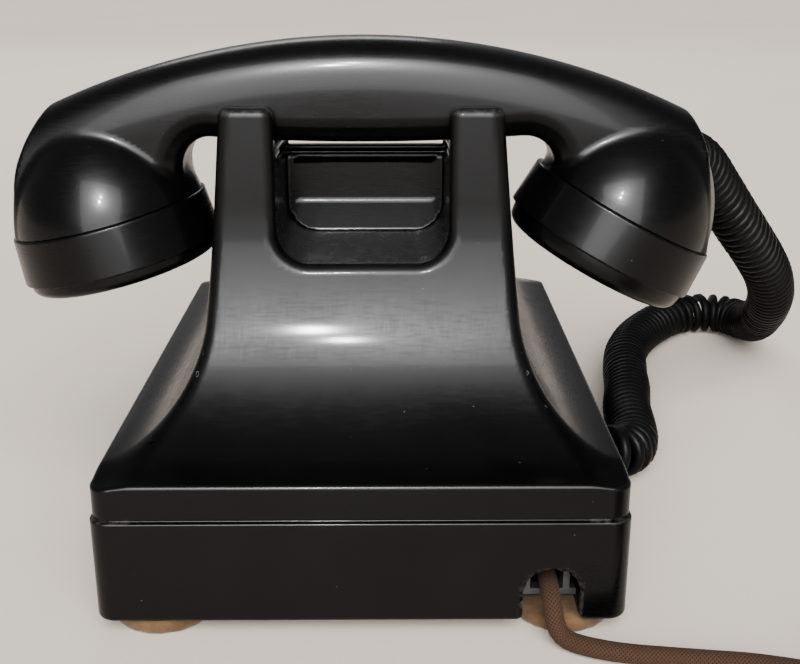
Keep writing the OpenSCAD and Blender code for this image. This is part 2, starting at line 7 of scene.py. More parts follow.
import bpy
import numpy as np
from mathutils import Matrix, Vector

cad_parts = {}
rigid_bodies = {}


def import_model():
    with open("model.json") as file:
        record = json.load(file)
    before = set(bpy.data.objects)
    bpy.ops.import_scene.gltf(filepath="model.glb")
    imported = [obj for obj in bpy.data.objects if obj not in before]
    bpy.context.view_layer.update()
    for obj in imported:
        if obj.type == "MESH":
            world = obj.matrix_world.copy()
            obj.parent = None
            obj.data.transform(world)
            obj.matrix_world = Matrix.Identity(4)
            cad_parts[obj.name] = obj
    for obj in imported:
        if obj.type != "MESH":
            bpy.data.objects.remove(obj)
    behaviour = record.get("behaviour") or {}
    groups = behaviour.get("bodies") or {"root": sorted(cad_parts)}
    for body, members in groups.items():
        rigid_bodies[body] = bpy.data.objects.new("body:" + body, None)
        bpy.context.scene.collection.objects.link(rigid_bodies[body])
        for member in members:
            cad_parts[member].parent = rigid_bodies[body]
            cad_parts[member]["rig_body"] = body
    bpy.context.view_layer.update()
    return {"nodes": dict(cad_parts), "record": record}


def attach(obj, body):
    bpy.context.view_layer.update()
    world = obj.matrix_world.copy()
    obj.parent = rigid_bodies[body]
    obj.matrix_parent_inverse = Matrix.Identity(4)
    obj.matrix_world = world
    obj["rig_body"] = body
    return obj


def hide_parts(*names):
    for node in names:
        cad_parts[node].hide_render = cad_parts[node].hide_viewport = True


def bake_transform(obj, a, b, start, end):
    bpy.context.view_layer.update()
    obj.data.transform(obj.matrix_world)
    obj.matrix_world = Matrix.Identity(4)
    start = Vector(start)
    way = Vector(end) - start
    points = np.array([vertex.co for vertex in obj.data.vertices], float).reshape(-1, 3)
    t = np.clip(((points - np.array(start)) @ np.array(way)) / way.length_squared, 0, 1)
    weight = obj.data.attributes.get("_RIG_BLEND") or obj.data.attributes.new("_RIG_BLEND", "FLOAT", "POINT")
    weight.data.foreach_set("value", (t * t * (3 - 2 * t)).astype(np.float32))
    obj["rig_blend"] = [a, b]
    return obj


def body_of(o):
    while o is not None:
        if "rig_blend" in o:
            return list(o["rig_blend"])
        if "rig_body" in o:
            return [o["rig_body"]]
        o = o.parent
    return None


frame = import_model()
MM = 0.001


# ---- Camera and stage -------------------------------------------------------------------------

LENS_MM = 50.85
SENSOR_MM = 36
CAMERA_AT = (-9.0, 396.7, 194.0)
CAMERA_PITCH = 18.8
CAMERA_YAW = 0.45
# The floor and the lamps are placed in metres.
FLOOR_HALF = 30.0
LIGHTS_AIM = (0, 0, 0.08)


def make_camera():
    """A camera behind the telephone that looks down at it; pitch and yaw are in degrees."""
    data = bpy.data.cameras.new("camera")
    data.sensor_width = SENSOR_MM
    data.lens = LENS_MM
    data.clip_start = 0.01
    data.clip_end = 50
    camera = bpy.data.objects.new("camera", data)
    camera.location = Vector(CAMERA_AT) * MM
    camera.rotation_euler = [math.radians(a) for a in (90 - CAMERA_PITCH, 0, 180 - CAMERA_YAW)]
    bpy.context.scene.collection.objects.link(camera)
    bpy.context.scene.camera = camera


# ---- Node material helpers --------------------------------------------------------------------


class Shader:
    """A Principled material with short helpers for its procedural nodes."""

    def __init__(self, name, color, roughness, metallic=0.0, **sockets):
        self.material = bpy.data.materials.new(name)
        self.material.use_nodes = True
        self.tree = self.material.node_tree
        self.bsdf = self.tree.nodes["Principled BSDF"]
        self.set("Base Color", (*color, 1))
        self.set("Roughness", roughness)
        self.set("Metallic", metallic)
        for key, value in sockets.items():
            self.set(key.replace("_", " "), value)

    def set(self, socket, value):
        self.bsdf.inputs[socket].default_value = value

    def node(self, kind, inputs=None, **settings):
        made = self.tree.nodes.new(kind)
        for key, value in settings.items():
            setattr(made, key, value)
        for key, value in (inputs or {}).items():
            if isinstance(value, bpy.types.NodeSocket):
                self.tree.links.new(value, made.inputs[key])
            else:
                made.inputs[key].default_value = value
        return made

    def link(self, output, socket):
        self.tree.links.new(output, self.bsdf.inputs[socket])

    def coords(self, scale=(1, 1, 1)):
        source = self.node("ShaderNodeTexCoord").outputs["Object"]
        return self.node("ShaderNodeMapping", {"Vector": source, "Scale": scale}).outputs["Vector"]

    def noise(self, vector, scale, detail=4.0, roughness=0.5):
        return self.node("ShaderNodeTexNoise", {
            "Vector": vector, "Scale": scale, "Detail": detail,
            "Roughness": roughness}).outputs["Fac"]

    def ramp(self, value, low, high, out_low=0.0, out_high=1.0):
        return self.node("ShaderNodeMapRange", {
            "Value": value, "From Min": low, "From Max": high,
            "To Min": out_low, "To Max": out_high}).outputs["Result"]

    def math(self, kind, a, b):
        return self.node("ShaderNodeMath", {0: a, 1: b}, operation=kind).outputs[0]

    def mix(self, factor, a, b):
        """Blends two colours; a mix node's factor and its two colours are sockets 0, 6 and 7."""
        made = self.node("ShaderNodeMix", data_type="RGBA")
        for index, value in ((0, factor), (6, a), (7, b)):
            if isinstance(value, bpy.types.NodeSocket):
                self.tree.links.new(value, made.inputs[index])
            else:
                made.inputs[index].default_value = value if index == 0 else (*value, 1)
        return made.outputs[2]

    def bump(self, height, strength, distance, normal=None):
        inputs = {"Height": height, "Strength": strength, "Distance": distance}
        if normal is not None:
            inputs["Normal"] = normal
        return self.node("ShaderNodeBump", inputs).outputs["Normal"]


def cloth_floor_material():
    s = Shader("pale_cloth", (0.74, 0.70, 0.66), 0.9)
    at = s.coords()
    broad = s.noise(at, 3.0, 3.0)
    weave = s.node("ShaderNodeTexWave", {"Vector": at, "Scale": 420.0, "Distortion": 1.5,
                                         "Detail": 2.0}, wave_type="BANDS").outputs["Fac"]
    s.link(s.mix(broad, (0.76, 0.675, 0.60), (0.83, 0.745, 0.67)), "Base Color")
    s.link(s.bump(weave, 0.12, 0.0006), "Normal")
    return s.material


def make_stage():
    mesh = bpy.data.meshes.new("floor")
    corners = [(x * FLOOR_HALF, y * FLOOR_HALF, 0) for x, y in ((-1, -1), (1, -1), (1, 1), (-1, 1))]
    mesh.from_pydata(corners, [], [(0, 1, 2, 3)])
    mesh.materials.append(cloth_floor_material())
    floor = bpy.data.objects.new("floor", mesh)
    bpy.context.scene.collection.objects.link(floor)


def area_light(name, at, size, power, color=(1, 1, 1), diffuse=True):
    """A lamp that faces the telephone; without diffuse only reflections show it."""
    data = bpy.data.lights.new(name, "AREA")
    data.shape = "RECTANGLE"
    data.size, data.size_y = size
    data.energy = power
    data.color = color
    light = bpy.data.objects.new(name, data)
    light.location = at
    aim = Vector(LIGHTS_AIM) - Vector(at)
    light.rotation_euler = aim.to_track_quat("-Z", "Y").to_euler()
    light.visible_diffuse = diffuse
    bpy.context.scene.collection.objects.link(light)


def make_lights():
    """A soft sun for the cloth, and a window with two lamps for the reflections."""
    world = bpy.data.worlds.new("room")
    world.use_nodes = True
    sky = world.node_tree.nodes["Background"].inputs
    sky["Color"].default_value = (0.95, 0.96, 1.0, 1)
    sky["Strength"].default_value = 0.3
    bpy.context.scene.world = world
    data = bpy.data.lights.new("room", "SUN")
    data.energy = 6.0
    data.angle = math.radians(56)
    data.color = (1.0, 0.96, 0.915)
    sun = bpy.data.objects.new("room", data)
    sun.rotation_euler = Vector((0.08, -0.8, -0.6)).to_track_quat("-Z", "Y").to_euler()
    sun.visible_glossy = False
    bpy.context.scene.collection.objects.link(sun)
    area_light("window", (0.1, 1.86, 0.98), (1.7, 1.85), 138, (0.98, 0.98, 1.0), False)
    area_light("lamp_left", (0.135, 1.5, 1.07), (0.045, 0.075), 55, diffuse=False)
    area_light("lamp_right", (0.085, 1.5, 1.24), (0.04, 0.05), 30, diffuse=False)
    area_light("back", (0.3, -1.8, 1.2), (1.0, 0.5), 7, (1.0, 0.99, 0.97))


# ---- Meshes -----------------------------------------------------------------------------------


def link_mesh(name, mesh, material):
    """Puts a mesh into the scene as an object with one material."""
    mesh.materials.append(material)
    made = bpy.data.objects.new(name, mesh)
    bpy.context.scene.collection.objects.link(made)
    return made


def add_mesh(name, points, faces, material, smooth=True):
    """Makes a mesh object from points in millimetres."""
    mesh = bpy.data.meshes.new(name)
    points = np.asarray(points, float) * MM
    faces = np.asarray(faces, int)
    mesh.vertices.add(len(points))
    mesh.vertices.foreach_set("co", points.ravel())
    mesh.loops.add(faces.size)
    mesh.loops.foreach_set("vertex_index", faces.ravel())
    mesh.polygons.add(len(faces))
    mesh.polygons.foreach_set("loop_start", np.arange(len(faces)) * faces.shape[1])
    mesh.update(calc_edges=True)
    mesh.validate()
    if smooth:
        mesh.polygons.foreach_set("use_smooth", np.ones(len(mesh.polygons), bool))
    return link_mesh(name, mesh, material)


def unit(v):
    """Vectors brought to length one."""
    return v / np.maximum(np.linalg.norm(v, axis=-1, keepdims=True), 1e-12)


def smooth_path(points, step):
    """A Catmull-Rom curve through the points, resampled to an even step."""
    p = np.asarray(points, float)
    p = np.vstack([2 * p[0] - p[1], p, 2 * p[-1] - p[-2]])
    t = np.linspace(0, 1, 24, endpoint=False)[:, None]
    parts = []
    for a, b, c, d in zip(p, p[1:], p[2:], p[3:]):
        parts.append(0.5 * (2 * b + (c - a) * t + (2 * a - 5 * b + 4 * c - d) * t**2
                            + (3 * b - a - 3 * c + d) * t**3))
    fine = np.vstack(parts + [p[-2][None]])
    run = np.concatenate([[0], np.cumsum(np.linalg.norm(np.diff(fine, axis=0), axis=1))])
    at = np.linspace(0, run[-1], max(2, round(run[-1] / step) + 1))
    return np.stack([np.interp(at, run, fine[:, k]) for k in range(3)], axis=1), at


def path_frames(path):
    """Tangents and two turning-free normals along a path."""
    tangent = unit(np.gradient(path, axis=0))
    normal = np.zeros_like(tangent)
    start = np.cross(tangent[0], (0, 0, 1))
    if np.linalg.norm(start) < 0.1:
        start = np.cross(tangent[0], (1, 0, 0))
    normal[0] = unit(start)
    for i in range(1, len(path)):
        carried = normal[i - 1] - tangent[i] * np.dot(normal[i - 1], tangent[i])
        normal[i] = unit(carried)
    return tangent, normal, np.cross(tangent, normal)


def ring_faces(rows, sides):
    """Quads between rows of points that each close into a ring."""
    i, k = np.meshgrid(np.arange(rows - 1), np.arange(sides), indexing="ij")
    j = (k + 1) % sides
    here, there = i * sides, (i + 1) * sides
    return np.stack([here + k, here + j, there + j, there + k], -1).reshape(-1, 4)


def tube_mesh(name, path, radius, sides, material, uv_length=None):
    """A closed round tube along a path; given uv_length, it gets a UV map: u along in millimetres, v around.
    """
    _, normal, side = path_frames(path)
    angle = np.linspace(0, 2 * np.pi, sides, endpoint=False)
    radius = np.broadcast_to(np.asarray(radius, float), (len(path),))
    rings = path[:, None] + radius[:, None, None] * (
        np.cos(angle)[None, :, None] * normal[:, None]
        + np.sin(angle)[None, :, None] * side[:, None])
    n = len(path)
    points = np.vstack([rings.reshape(-1, 3), path[0], path[-1]])
    last = (n - 1) * sides
    ring = np.arange(sides)
    turn = np.roll(ring, -1)
    first_centre = np.full(sides, n * sides)
    start = np.stack([turn, ring, first_centre], -1)
    end = np.stack([last + ring, last + turn, first_centre + 1], -1)
    mesh = bpy.data.meshes.new(name)
    faces = [tuple(f) for part in (ring_faces(n, sides), start, end) for f in part]
    mesh.from_pydata((points * MM).tolist(), [], faces)
    mesh.polygons.foreach_set("use_smooth", np.ones(len(mesh.polygons), bool))
    if uv_length is not None:
        layer = mesh.uv_layers.new(name="along")
        uv = np.zeros((len(mesh.loops), 2))
        u0 = np.repeat(uv_length[:-1], sides)
        u1 = np.repeat(uv_length[1:], sides)
        v0 = np.tile(ring / sides, n - 1)
        v1 = np.tile((ring + 1) / sides, n - 1)
        body = np.stack([np.stack([u0, v0], -1), np.stack([u0, v1], -1),
                         np.stack([u1, v1], -1), np.stack([u1, v0], -1)], 1)
        uv[: body.shape[0] * 4] = body.reshape(-1, 2)
        layer.data.foreach_set("uv", uv.ravel())
    return link_mesh(name, mesh, material)


# ---- Distance fields --------------------------------------------------------------------------
# Each field takes x, y, z in millimetres and returns a distance that is negative inside.

# How strongly a mesh point is held at the middle of its cell's edge crossings.
PULL = 0.06
# The distance to each side over which normals are read.
NORMAL_REACH = 0.12


def round_and(a, b, r):
    """Intersection of two fields with an edge of radius r."""
    return np.minimum(-r, np.maximum(a, b)) + np.hypot(np.maximum(a + r, 0), np.maximum(b + r, 0))


def round_cut(a, b, r):
    """Field a without field b."""
    return round_and(a, -b, r)


def round_join(a, b, r):
    """Union of two fields with a fillet of radius r."""
    return -round_and(-a, -b, r)


def slab(value, middle, half):
    return np.abs(value - middle) - half


def round_corner(px, py, r):
    """A quarter of the plane with its corner at the origin rounded to radius r."""
    qx, qy = px + r, py + r
    return np.hypot(np.maximum(qx, 0), np.maximum(qy, 0)) + np.minimum(np.maximum(qx, qy), 0) - r


def rounded_slot(px, py, half, r):
    """Distance to a slot open towards -py, with its end at py = 0 and corners of radius r."""
    return round_corner(np.abs(px) - half, py, r)


def flare(s, z, reach, z_top, height):
    """Outside distance of a concave flare that runs out by reach from s = 0 below z_top."""
    u, v = (s - reach) / reach, (z - z_top) / height
    k0 = np.hypot(u, v)
    k1 = np.hypot(u / reach, v / height)
    return np.where(z > z_top, s, -k0 * (k0 - 1) / np.maximum(k1, 1e-9))


def edge_crossings(value, axes):
    """Where a field's values change sign along the grid's edges, and the four cells around each."""
    inside = value < 0
    spots, rings, flips = [], [], []
    for d in range(3):
        low_part, high_part = [slice(None)] * 3, [slice(None)] * 3
        low_part[d], high_part[d] = slice(0, -1), slice(1, None)
        low = np.argwhere(inside[tuple(low_part)] != inside[tuple(high_part)])
        high = low + (np.arange(3) == d)
        a, b = value[tuple(low.T)], value[tuple(high.T)]
        spot = np.stack([axes[k][low[:, k]] for k in range(3)], 1)
        spot[:, d] += a / (a - b) * (axes[d][high[:, d]] - spot[:, d])
        across = [k for k in range(3) if k != d]
        ring = []
        for i, j in ((1, 1), (0, 1), (0, 0), (1, 0)):
            cell = low.copy()
            cell[:, across[0]] -= i
            cell[:, across[1]] -= j
            ring.append(np.ravel_multi_index(cell.T, value.shape))
        spots.append(spot)
        rings.append(np.stack(ring, 1))
        flips.append((a < 0) == (d == 1))
    rings, flips = np.vstack(rings), np.concatenate(flips)
    rings[flips] = rings[flips][:, ::-1]
    return np.vstack(spots), rings


def net_mesh(field, axes):
    """Closed quads over a field's zero surface, one point for each grid cell that it passes.

    A point is where the planes through its cell's edge crossings meet best, so edges stay crisp."""
    value = field(*np.meshgrid(*axes, indexing="ij"))
    spots, rings = edge_crossings(value, axes)
    cells, faces = np.unique(rings, return_inverse=True)
    faces = faces.reshape(rings.shape)
    for _ in range(2):
        off, slope = field_slope(field, spots)
        move = off[:, None] * slope / np.maximum((slope**2).sum(1), 0.05)[:, None]
        spots = spots - np.clip(move, -0.5, 0.5)
    normal = unit(field_slope(field, spots)[1])
    owner = faces.ravel()

    def gather(values):
        return np.bincount(owner, weights=np.repeat(values, 4), minlength=len(cells))

    count = gather(np.ones(len(spots)))
    middle = np.stack([gather(spots[:, k]) for k in range(3)], 1) / count[:, None]
    matrix = np.empty((len(cells), 3, 3))
    for k in range(3):
        for m in range(3):
            matrix[:, k, m] = gather(normal[:, k] * normal[:, m])
    level = (normal * spots).sum(1)
    right = np.stack([gather(normal[:, k] * level) for k in range(3)], 1)
    matrix += PULL * count[:, None, None] * np.eye(3)
    points = np.linalg.solve(matrix, (right + PULL * count[:, None] * middle)[..., None])[..., 0]
    corner = np.stack(np.unravel_index(cells, value.shape), 1)
    for k in range(3):
        lowest, highest = axes[k][corner[:, k]], axes[k][corner[:, k] + 1]
        slack = 0.1 * (highest - lowest)
        points[:, k] = np.clip(points[:, k], lowest - slack, highest + slack)
    return points, faces


def field_slope(field, points, h=0.05):
    """A field's value at the points and its slope, read over a distance of h to each side."""
    x, y, z = points.T
    slope = np.stack([field(x + h, y, z) - field(x - h, y, z),
                      field(x, y + h, z) - field(x, y - h, z),
                      field(x, y, z + h) - field(x, y, z - h)], 1) / (2 * h)
    return field(x, y, z), slope


def steps(*spans):
    """Grid lines: spans are (end, spacing), the first one only its start."""
    line = [spans[0]]
    for end, gap in spans[1:]:
        n = max(1, round((end - line[-1]) / gap))
        line += list(np.linspace(line[-1], end, n + 1)[1:])
    return np.array(line)


def both_sides(*spans):
    """Grid lines that start at 0 and run both ways."""
    half = steps(0, *spans)
    return np.concatenate([-half[:0:-1], half])


def field_object(name, field, axes, material, wear_and_highlight=None, place=None, shade_at=None):
    """A mesh of a field, with its normals taken from the field.

    The marking function gives each point its satin and its wear with painted highlight, place turns
    points and normals from a local frame, and shade_at gives the spots at which the normals are read."""
    points, faces = net_mesh(field, axes)
    spots = shade_at(points) if shade_at else points
    normals = unit(field_slope(field, spots, NORMAL_REACH)[1])
    satin, worn_and_highlighted = wear_and_highlight(points, normals) if wear_and_highlight else np.zeros((2, len(points)))
    if place:
        points, normals = place(points), place(normals) - place(np.zeros((1, 3)))
    made = add_mesh(name, points, faces, material)
    for key, value in (("satin", satin), ("wear_and_highlight", worn_and_highlighted)):
        layer = made.data.attributes.new(key, "FLOAT", "POINT")
        layer.data.foreach_set("value", value.astype(np.float32))
    made.data.normals_split_custom_set_from_vertices(normals.tolist())
    return made


# ---- Housing ----------------------------------------------------------------------------------
# The frame's x runs across the telephone, y from its dial to its rear and z up from the table.

BODY_W, BODY_D = 158.0, 215.0
BASE_Z, STEP_Z, CREASE_Z, EAR_Z = 5.0, 37.5, 49.0, 148.0
BAND_R = 6.0
STEP_IN = 0.7
# Each flare's reach outwards and its height.
SIDE_FLARE = (29.5, 34.0)
REAR_FLARE = (54.0, 70.0)
EAR_HALF = 43.5
WELL_HALF, WELL_FLOOR, WELL_FRONT, WELL_R = 27.0, 100.0, 9.0, 10.0
PANEL_HALF, PANEL_LOW, PANEL_TOP, PANEL_DEPTH = 24.4, 111.0, 124.5, 0.7
FRONT_WALL_Z = 128.5
SADDLE_Z, SADDLE_HALF = 133.0, 16.0
HANDSET_Y = 31.0
# The front's profile: its two ends in y and z, and its sag between them.
FRONT_LOW = np.array([-107.5, 49.0])
FRONT_HIGH = np.array([6.0, 146.0])
FRONT_SAG = 14.0
WALL = 3.0
DIAL_AT = np.array([0, -52.5, 92.0])
DIAL_ELEVATION = math.radians(50)
DIAL_NORMAL = np.array([0, -math.cos(DIAL_ELEVATION), math.sin(DIAL_ELEVATION)])
DIAL_UP = np.array([0, math.sin(DIAL_ELEVATION), math.cos(DIAL_ELEVATION)])
BOSS_R, SEAT_R, DIAL_HOLE_R = 45.0, 41.6, 37.0
NOTCH_X, NOTCH_HALF, NOTCH_TOP, NOTCH_DEPTH_Y = -56.0, 7.9, 21.5, 96.0


def front_circle():
    """Centre and radius of the arc that the front's profile follows."""
    span = FRONT_HIGH - FRONT_LOW
    chord = np.linalg.norm(span)
    radius = chord**2 / (8 * FRONT_SAG) + FRONT_SAG / 2
    along = span / chord
    centre = (FRONT_LOW + FRONT_HIGH) / 2 + (radius - FRONT_SAG) * np.array([-along[1], along[0]])
    return centre, radius


FRONT_CENTRE, FRONT_R = front_circle()


def band_outline(x, y, inset):
    """The base's rounded outline, drawn in by inset."""
    return round_corner(np.abs(x) - (BODY_W / 2 - inset), np.abs(y) - (BODY_D / 2 - inset), BAND_R)


def flanks(x, z):
    """The two sides: leaning walls that flare out to the base."""
    top = CREASE_Z + SIDE_FLARE[1]
    narrow = BODY_W / 2 - SIDE_FLARE[0]
    lean = (narrow - EAR_HALF) / (EAR_Z - top)
    s = np.abs(x) - narrow + lean * (z - top)
    return flare(s, z, SIDE_FLARE[0] - lean * SIDE_FLARE[1], top, SIDE_FLARE[1])


def rear(y, z):
    """The rear ribbon, upright behind the ears and flared out to the base."""
    reach, height = REAR_FLARE
    return flare(y - (BODY_D / 2 - reach), z, reach, CREASE_Z + height, height)


def front(y, z):
    """The front's sagging slope, under the dial."""
    return FRONT_R - np.hypot(y - FRONT_CENTRE[0], z - FRONT_CENTRE[1])


def in_dial_frame(x, y, z):
    """Places seen from the dial's centre: across, up along its face, and out of it."""
    dy, dz = y - DIAL_AT[1], z - DIAL_AT[2]
    up = dy * DIAL_UP[1] + dz * DIAL_UP[2]
    out = dy * DIAL_NORMAL[1] + dz * DIAL_NORMAL[2]
    return x - DIAL_AT[0], up, out


def well(x, y, z, side=0.0):
    """The finger well between the rear ears, grown by side."""
    profile = rounded_slot(x, WELL_FLOOR - side - z, WELL_HALF + side, WELL_R + side / 2)
    return round_and(profile, WELL_FRONT - side - y, 0.5)


def notch_field(x, z):
    """The cord's arched way out, with a chipped edge that runs out at its feet."""
    arch = rounded_slot(x - NOTCH_X, z - NOTCH_TOP, NOTCH_HALF, NOTCH_HALF - 0.3)
    chips = 0.14 * np.sin(0.9 * z + 0.7 * x) * np.sin(1.1 * x - 0.4 * z)
    return arch - 0.6 - chips - 1.3 * np.exp(-np.maximum(z - BASE_Z, 0) / 1.1)


def housing_marks(points, normals):
    """A painted highlight on the ears' rims, scuffs on the notch and the step's corners; satin on the rear
    ribbon.
    """
    x, y, z = points.T
    # The ears' rims are greyed as a painted highlight of their edges.
    rim_highlight = (z > EAR_Z - 3.4) * np.clip(1.6 - 3.2 * np.abs(normals[:, 2] - 0.55), 0, 1)
    edge = (y > 104.5) * np.clip(1.35 - np.abs(notch_field(x, z) + 0.2) / 0.7, 0, 1) * (z < 24)
    step = np.clip(1 - np.abs(z - STEP_Z - 0.3) / 0.9, 0, 1) * (np.abs(x) > 66) * 0.3
    satin = (np.clip((normals[:, 1] - 0.12) / 0.25, 0, 1) * np.clip((z - 52) / 16, 0, 1)
             * np.clip((y - 44) / 4, 0, 1))
    return satin, np.maximum(np.maximum(0.14 * rim_highlight, 0.3 * edge), step)


def housing_field(x, y, z):
    """The housing: base band, flared tower and dial boss, hollowed out and cut."""
    sides, back, face = flanks(x, z), rear(y, z), front(y, z)
    tower = round_and(round_and(sides, back, 4.2), face, 4.0)
    tower = round_and(tower, z - EAR_Z, 2.6)
    upper = round_and(band_outline(x, y, STEP_IN), tower, 1.3)
    lower = round_and(band_outline(x, y, 0.0), z - STEP_Z, 0.7)
    lower = round_and(lower, BASE_Z - z, 1.4)
    upper = np.maximum(upper, BASE_Z + 4 - z)
    body = np.minimum(upper, lower)
    groove = np.maximum(-band_outline(x, y, STEP_IN + 0.75), np.abs(z - STEP_Z - 0.35) - 0.4)
    body = round_cut(body, groove, 0.2)
    lx, ly, lz = in_dial_frame(x, y, z)
    ring = np.hypot(lx, ly)
    boss = round_and(ring - BOSS_R, lz, 1.8)
    body = round_join(body, np.maximum(boss, -34 - lz), 5.0)
    body = round_cut(body, np.maximum(ring - SEAT_R, -1.0 - lz), 0.6)
    hollow = np.maximum(face + WALL, z - SADDLE_Z + WALL)
    hollow = np.maximum(np.maximum(sides, back) + WALL, hollow)
    hollow = np.maximum(hollow, band_outline(x, y, WALL))
    hollow = round_cut(hollow, well(x, y, z, 2.5), 1.0)
    body = np.maximum(body, -hollow)
    body = np.maximum(body, -np.maximum(ring - DIAL_HOLE_R, -40.0 - lz))
    body = round_cut(body, well(x, y, z), 3.2)
    saddle = round_and(np.abs(y - HANDSET_Y) - SADDLE_HALF, SADDLE_Z - z, 4.0)
    body = round_cut(body, saddle, 1.2)
    gap = np.maximum(np.maximum(np.abs(x) - WELL_HALF, y - HANDSET_Y), FRONT_WALL_Z - z)
    body = round_cut(body, gap, 2.6)
    panel = np.maximum(rounded_slot(x, PANEL_LOW - z, PANEL_HALF, 2.0), z - PANEL_TOP)
    body = round_cut(body, np.maximum(panel, WELL_FRONT - PANEL_DEPTH - y), 0.5)
    return round_cut(body, np.maximum(notch_field(x, z), NOTCH_DEPTH_Y - y), 0.7)


def housing_axes():
    """Grid lines, closest where the housing has its edges and small radii."""
    x = both_sides((42.0, 2.0), (46.5, 1.4), (65.0, 0.95), (71.0, 1.7), (79.6, 0.78))
    y = steps(-108.3, (-99.0, 0.8), (2.0, 2.4), (20.0, 1.4), (44.0, 2.1), (56.0, 1.25),
              (99.0, 1.9), (108.3, 0.75))
    z = steps(3.6, (10.0, 0.8), (23.5, 0.95), (36.2, 1.9), (39.2, 0.3), (46.4, 1.2), (52.0, 0.62),
              (96.0, 1.7), (115.0, 1.25), (142.0, 1.5), (149.2, 0.75))
    return x, y, z


# ---- Handset ----------------------------------------------------------------------------------

HANDLE_TOP, HANDLE_R, HANDLE_HALF = 168.0, 243.0, 15.5
# The handle's section: how deep its rounding reaches, and its powers across and down.
ROUNDING_DEPTH, ACROSS_POWER, DOWN_POWER = 26, 2.8, 4.2
# The slope of the bevel along the handle's lower edges, as height and width.
BEVEL = (7, 4.6)
UNDER_Z = 136.0
DOME_H, DOME_WALL = 32.0, 3.6
CAP_R, CAP_RING_H = 32.0, 15.0
CAP_GAP = 0.25
DISH_R = 22.0


class Seam:
    """Frame of a cap: centre of its seam, with h up into the handset and r from the axis."""

    def __init__(self, x, z, tilt, dome_r, cap_h):
        turn = math.radians(tilt)
        self.at = np.array([x, HANDSET_Y, z])
        self.across = np.array([math.cos(turn), 0, -math.sin(turn)])
        self.up = np.array([math.sin(turn), 0, math.cos(turn)])
        self.dome_r = dome_r
        self.cap_h = cap_h

    def local(self, x, y, z):
        """Distance from the axis and height over the seam."""
        dx, dy, dz = x - self.at[0], y - self.at[1], z - self.at[2]
        h = dx * self.up[0] + dz * self.up[2]
        return np.hypot(dx * self.across[0] + dz * self.across[2], dy), h

    def place(self, points):
        """Points of the cap's own frame, in the telephone's."""
        p = np.asarray(points, float)
        return (self.at + p[:, :1] * self.across + p[:, 1:2] * np.array([0, 1.0, 0])
                + p[:, 2:] * self.up)

    def dome(self, x, y, z, inset=0.0):
        """The bell over the cap, or its hollow at a depth of inset."""
        r, h = self.local(x, y, z)
        rb, hb = self.dome_r - inset, DOME_H - inset
        t = np.maximum(h, 0) / hb
        g = (r / rb) ** 2 + t**1.5 - 1
        return g / np.hypot(2 * r / rb**2, 1.5 * np.sqrt(t) / hb + 1e-3)

    def below(self, x, y, z):
        """The room under the seam, kept to this end of the handset and clear of the handle."""
        clear = np.maximum(z - 132.0, 20 - x * np.sign(self.at[0]))
        return np.maximum(self.local(x, y, z)[1], clear)


RECEIVER = Seam(83.6, 112.3, 13.9, 31.0, 19.6)
TRANSMITTER = Seam(-85.4, 113.5, -28.1, 30.3, 21.5)
RECEIVER_END = [(98, 152), (100.9, 146.3), (104.4, 141.4), (107.6, 135), (110.5, 122), (110.5, 90)]
TRANSMITTER_END = [(101.3, 152.2), (104.4, 146.3), (106.8, 141.4), (109.5, 133), (110.5, 122),
                   (110.5, 90)]


def handle_end(outline, x, z):
    """An end of the handle: a run of straight lines joined with wide radii."""
    d = None
    for (x0, z0), (x1, z1) in zip(outline, outline[1:]):
        dx, dz = x1 - x0, z1 - z0
        n = math.hypot(dx, dz)
        plane = -((x - x0) * dz - (z - z0) * dx) / n
        d = plane if d is None else round_and(d, plane, 3.0)
    return d


def handset_field(x, y, z):
    """The handset's moulding: an arched handle run into two hollow domes."""
    yy = np.abs(y - HANDSET_Y)
    depth = HANDLE_R - np.hypot(x, z - HANDLE_TOP + HANDLE_R)
    under = rounded_slot(x + 2.0, z - UNDER_Z - 1.8 * np.minimum((x / 50) ** 2, 1), 59.0, 9.5)
    t = np.maximum(ROUNDING_DEPTH - depth, 0) / ROUNDING_DEPTH
    u = yy / HANDLE_HALF
    g = u**ACROSS_POWER + t**DOWN_POWER - 1
    grip = g / (np.hypot(ACROSS_POWER * u ** (ACROSS_POWER - 1) / HANDLE_HALF,
                         DOWN_POWER * t ** (DOWN_POWER - 1) / ROUNDING_DEPTH) + 0.01)
    bevel = ((yy - HANDLE_HALF) * BEVEL[0] + (6.4 - under) * BEVEL[1]) / math.hypot(*BEVEL)
    grip = round_and(grip, bevel, 1.0)
    grip = round_and(grip, -under, 2.2)
    grip = round_and(grip, handle_end(RECEIVER_END, x, z), 1.6)
    grip = round_and(grip, handle_end(TRANSMITTER_END, -x, z), 1.6)
    grip = np.maximum(grip, 88 - z)
    body = round_join(grip, RECEIVER.dome(x, y, z), 1.5)
    body = round_join(body, TRANSMITTER.dome(x, y, z), 1.8)
    body = round_cut(body, RECEIVER.below(x, y, z), 0.4)
    body = round_cut(body, TRANSMITTER.below(x, y, z), 0.4)
    body = np.maximum(body, -RECEIVER.dome(x, y, z, DOME_WALL))
    return np.maximum(body, -TRANSMITTER.dome(x, y, z, DOME_WALL))


def handset_axes():
    x = both_sides((46.0, 1.7), (117.0, 0.95))
    y = HANDSET_Y + both_sides((32.6, 0.95))
    z = steps(82.0, (128.0, 0.95), (169.2, 1.0))
    return x, y, z


def off_the_seams(points):
    """Where to read the surface's slope, so that the domes' lower edges shine as the domes do."""
    lifted = points.copy()
    for seam in (RECEIVER, TRANSMITTER):
        r, h = seam.local(*points.T)
        close = (np.abs(h) < 1.1) & (r > 28.5) & (r < CAP_R + 2)
        lifted[close] += (1.6 - h[close])[:, None] * seam.up
    return lifted


